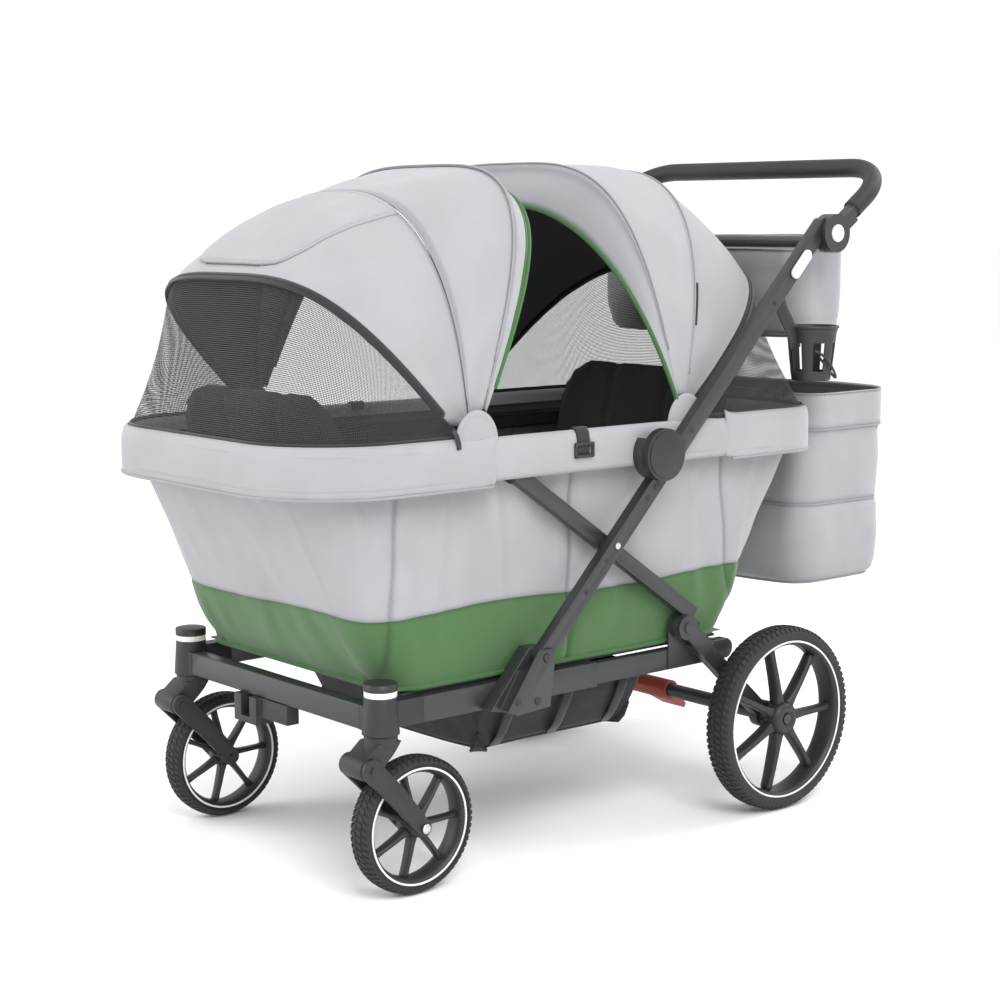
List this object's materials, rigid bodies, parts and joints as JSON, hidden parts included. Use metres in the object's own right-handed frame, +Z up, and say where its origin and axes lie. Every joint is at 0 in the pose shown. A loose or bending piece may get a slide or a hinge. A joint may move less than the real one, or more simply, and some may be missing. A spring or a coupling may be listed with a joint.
{
  "type": "kids pull wagon",
  "caption": "Folding four-wheeled wagon with a fabric tub, twin canopies, push handle and storage bags.",
  "frame": {"origin": "centre of the footprint on the ground, under the middle of the bounding box", "axes": "+X to the wagon's left, +Y to the rear where the push handle is, +Z up"},
  "size_m": [0.6594, 1.296, 1.061],
  "materials": {
    "frame_black": "satin",
    "moulded_black": "matte",
    "bow_black": "matte",
    "cream_plastic": "satin",
    "bright_steel": "satin",
    "axle_steel": "satin",
    "board": "matte",
    "green_fabric": "woven",
    "grey_fabric": "woven",
    "dark_fabric": "woven",
    "mesh": "mesh",
    "red_plastic": "matte",
    "tyre": "matte",
    "grip": "grained"
  },
  "bodies": {
    "chassis": {"rail_sleeves": "frame_black", "cross_tubes": "frame_black", "caster_housings": "moulded_black", "housing_trim": "cream_plastic", "arm_brackets": "frame_black", "floor_board": "board", "tub_lower": "green_fabric", "seat_cushions": "dark_fabric", "under_basket": "dark_fabric", "hitch_socket": "moulded_black"},
    "front_seat": {"front_seat_back": "dark_fabric"},
    "rear_seat": {"rear_seat_back": "dark_fabric"},
    "carriage": {"rear_rails": "frame_black", "rear_cross_tube": "frame_black", "knuckles": "frame_black", "rear_axle": "axle_steel"},
    "brake": {"brake_pedal": "red_plastic"},
    "left_pin": {"left_brake_pin": "bright_steel"},
    "right_pin": {"right_brake_pin": "bright_steel"},
    "left_rear_wheel": {"left_rear_tyre": "tyre", "left_rear_rim": "moulded_black"},
    "right_rear_wheel": {"right_rear_tyre": "tyre", "right_rear_rim": "moulded_black"},
    "left_caster": {"left_fork_head": "moulded_black"},
    "left_link": {"left_fork_link": "moulded_black"},
    "left_front_wheel": {"left_front_tyre": "tyre", "left_front_rim": "moulded_black"},
    "right_caster": {"right_fork_head": "moulded_black"},
    "right_link": {"right_fork_link": "moulded_black"},
    "right_front_wheel": {"right_front_tyre": "tyre", "right_front_rim": "moulded_black"},
    "arm_pair": {"arms": "frame_black", "fold_hubs": "moulded_black", "crossing_rivets": "bright_steel"},
    "leg_pair": {"legs": "frame_black"},
    "top_frame": {"top_rail": "frame_black", "rim_band": "grey_fabric", "front_skirt": "grey_fabric", "tub_upper": "grey_fabric", "canopy_hinges": "moulded_black", "end_bows": "bow_black", "end_screens": "mesh", "end_panels": "grey_fabric", "rear_bag": "grey_fabric"},
    "front_canopy_mid": {"front_mid_bow": "bow_black", "front_mid_panel": "grey_fabric"},
    "front_canopy_hem": {"front_hem_bow": "bow_black", "front_visor": "grey_fabric"},
    "rear_canopy_mid": {"rear_mid_bow": "bow_black", "rear_mid_panel": "grey_fabric"},
    "rear_canopy_hem": {"rear_hem_bow": "bow_black", "rear_visor": "grey_fabric"},
    "handle": {"handle_tubes": "frame_black", "console_bag": "grey_fabric", "cup_holder": "moulded_black"},
    "latches": {"tube_latches": "cream_plastic"},
    "bar": {"handlebar": "frame_black", "grip": "grip"},
    "left_tilt_button": {"left_button": "cream_plastic"},
    "right_tilt_button": {"right_button": "cream_plastic"}
  },
  "joints": [
    {"name": "left_caster_swivel", "type": "hinge", "parent": "chassis", "child": "left_caster", "pos_m": [0.25, -0.492, 0.242], "axis": [0, 0, 1], "continuous": true},
    {"name": "left_suspension", "type": "hinge", "parent": "left_caster", "child": "left_link", "pos_m": [0.25, -0.5275, 0.2007], "axis": [1, 0, 0], "range_deg": [0, 8], "stiffness_Nm_per_rad": 80, "springref_deg": -6.88},
    {"name": "left_front_wheel_spin", "type": "hinge", "parent": "left_link", "child": "left_front_wheel", "pos_m": [0.25, -0.437, 0.101], "axis": [1, 0, 0], "continuous": true},
    {"name": "left_rear_wheel_spin", "type": "hinge", "parent": "carriage", "child": "left_rear_wheel", "pos_m": [0.3075, 0.277, 0.1515], "axis": [1, 0, 0], "continuous": true},
    {"name": "right_caster_swivel", "type": "hinge", "parent": "chassis", "child": "right_caster", "pos_m": [-0.25, -0.492, 0.242], "axis": [0, 0, 1], "continuous": true},
    {"name": "right_suspension", "type": "hinge", "parent": "right_caster", "child": "right_link", "pos_m": [-0.25, -0.5275, 0.2007], "axis": [1, 0, 0], "range_deg": [0, 8], "stiffness_Nm_per_rad": 80, "springref_deg": -6.88},
    {"name": "right_front_wheel_spin", "type": "hinge", "parent": "right_link", "child": "right_front_wheel", "pos_m": [-0.25, -0.437, 0.101], "axis": [1, 0, 0], "continuous": true},
    {"name": "right_rear_wheel_spin", "type": "hinge", "parent": "carriage", "child": "right_rear_wheel", "pos_m": [-0.3075, 0.277, 0.1515], "axis": [1, 0, 0], "continuous": true},
    {"name": "frame_fold", "type": "hinge", "parent": "chassis", "child": "arm_pair", "pos_m": [0, -0.232, 0.324], "axis": [-1, 0, 0], "range_deg": [0, 30]},
    {"name": "leg_fold", "type": "hinge", "parent": "arm_pair", "child": "leg_pair", "pos_m": [0, -0.08751, 0.47362], "axis": [1, 0, 0], "range_deg": [0, 56.2]},
    {"name": "top_frame_drop", "type": "slide", "parent": "chassis", "child": "top_frame", "axis": [0, 0, -1], "range_m": [0, 0.1803], "deforming": ["tub_lower"]},
    {"name": "carriage_slide", "type": "slide", "parent": "chassis", "child": "carriage", "axis": [0, 1, 0], "range_m": [0, 0.1043]},
    {"name": "handle_level", "type": "hinge", "parent": "arm_pair", "child": "handle", "pos_m": [0, 0.00071, 0.60529], "axis": [1, 0, 0], "range_deg": [0, 30]},
    {"name": "front_seat_fold", "type": "hinge", "parent": "chassis", "child": "front_seat", "pos_m": [0, -0.45, 0.365], "axis": [-1, 0, 0], "range_deg": [0, 45]},
    {"name": "rear_seat_fold", "type": "hinge", "parent": "chassis", "child": "rear_seat", "pos_m": [0, 0.191, 0.365], "axis": [1, 0, 0], "range_deg": [0, 45]},
    {"name": "brake_press", "type": "hinge", "parent": "carriage", "child": "brake", "pos_m": [0, 0.277, 0.1515], "axis": [-1, 0, 0], "range_deg": [0, 18]},
    {"name": "left_brake_pin_slide", "type": "slide", "parent": "carriage", "child": "left_pin", "axis": [1, 0, 0], "range_m": [0, 0.008]},
    {"name": "right_brake_pin_slide", "type": "slide", "parent": "carriage", "child": "right_pin", "axis": [-1, 0, 0], "range_m": [0, 0.008]},
    {"name": "front_canopy_fold", "type": "hinge", "parent": "top_frame", "child": "front_canopy_mid", "pos_m": [0, -0.344, 0.64], "axis": [1, 0, 0], "range_deg": [0, 34]},
    {"name": "front_hem_fold", "type": "hinge", "parent": "front_canopy_mid", "child": "front_canopy_hem", "pos_m": [0, -0.344, 0.64], "axis": [1, 0, 0], "range_deg": [0, 18]},
    {"name": "rear_canopy_fold", "type": "hinge", "parent": "top_frame", "child": "rear_canopy_mid", "pos_m": [0, 0.08, 0.64], "axis": [-1, 0, 0], "range_deg": [0, 28]},
    {"name": "rear_hem_fold", "type": "hinge", "parent": "rear_canopy_mid", "child": "rear_canopy_hem", "pos_m": [0, 0.08, 0.64], "axis": [-1, 0, 0], "range_deg": [0, 20]},
    {"name": "handlebar_tilt", "type": "hinge", "parent": "handle", "child": "bar", "pos_m": [0, 0.3924, 0.93603], "axis": [1, 0, 0], "range_deg": [-55, 45]},
    {"name": "left_tilt_button_press", "type": "slide", "parent": "bar", "child": "left_tilt_button", "axis": [-1, 0, 0], "range_m": [0, 0.003], "stiffness_N_per_m": 600, "springref_m": -0.003},
    {"name": "right_tilt_button_press", "type": "slide", "parent": "bar", "child": "right_tilt_button", "axis": [1, 0, 0], "range_m": [0, 0.003], "stiffness_N_per_m": 600, "springref_m": -0.003},
    {"name": "tube_latch_pull", "type": "slide", "parent": "handle", "child": "latches", "axis": [0, -0.6947, -0.7193], "range_m": [0, 0.012], "stiffness_N_per_m": 500, "springref_m": -0.01}
  ],
  "couplings": [
    {"joint": "leg_fold", "follows": "frame_fold", "ratio": 1.8733},
    {"joint": "top_frame_drop", "follows": "frame_fold", "m_per_rad": 0.34434},
    {"joint": "carriage_slide", "follows": "frame_fold", "m_per_rad": 0.19919},
    {"joint": "handle_level", "follows": "frame_fold", "ratio": 1},
    {"joint": "front_seat_fold", "follows": "frame_fold", "ratio": 1.5},
    {"joint": "rear_seat_fold", "follows": "frame_fold", "ratio": 1.5},
    {"joint": "left_brake_pin_slide", "follows": "brake_press", "m_per_rad": 0.02546},
    {"joint": "right_brake_pin_slide", "follows": "brake_press", "m_per_rad": 0.02546},
    {"joint": "front_hem_fold", "follows": "front_canopy_fold", "ratio": 0.52941},
    {"joint": "rear_hem_fold", "follows": "rear_canopy_fold", "ratio": 0.71428}
  ]
}
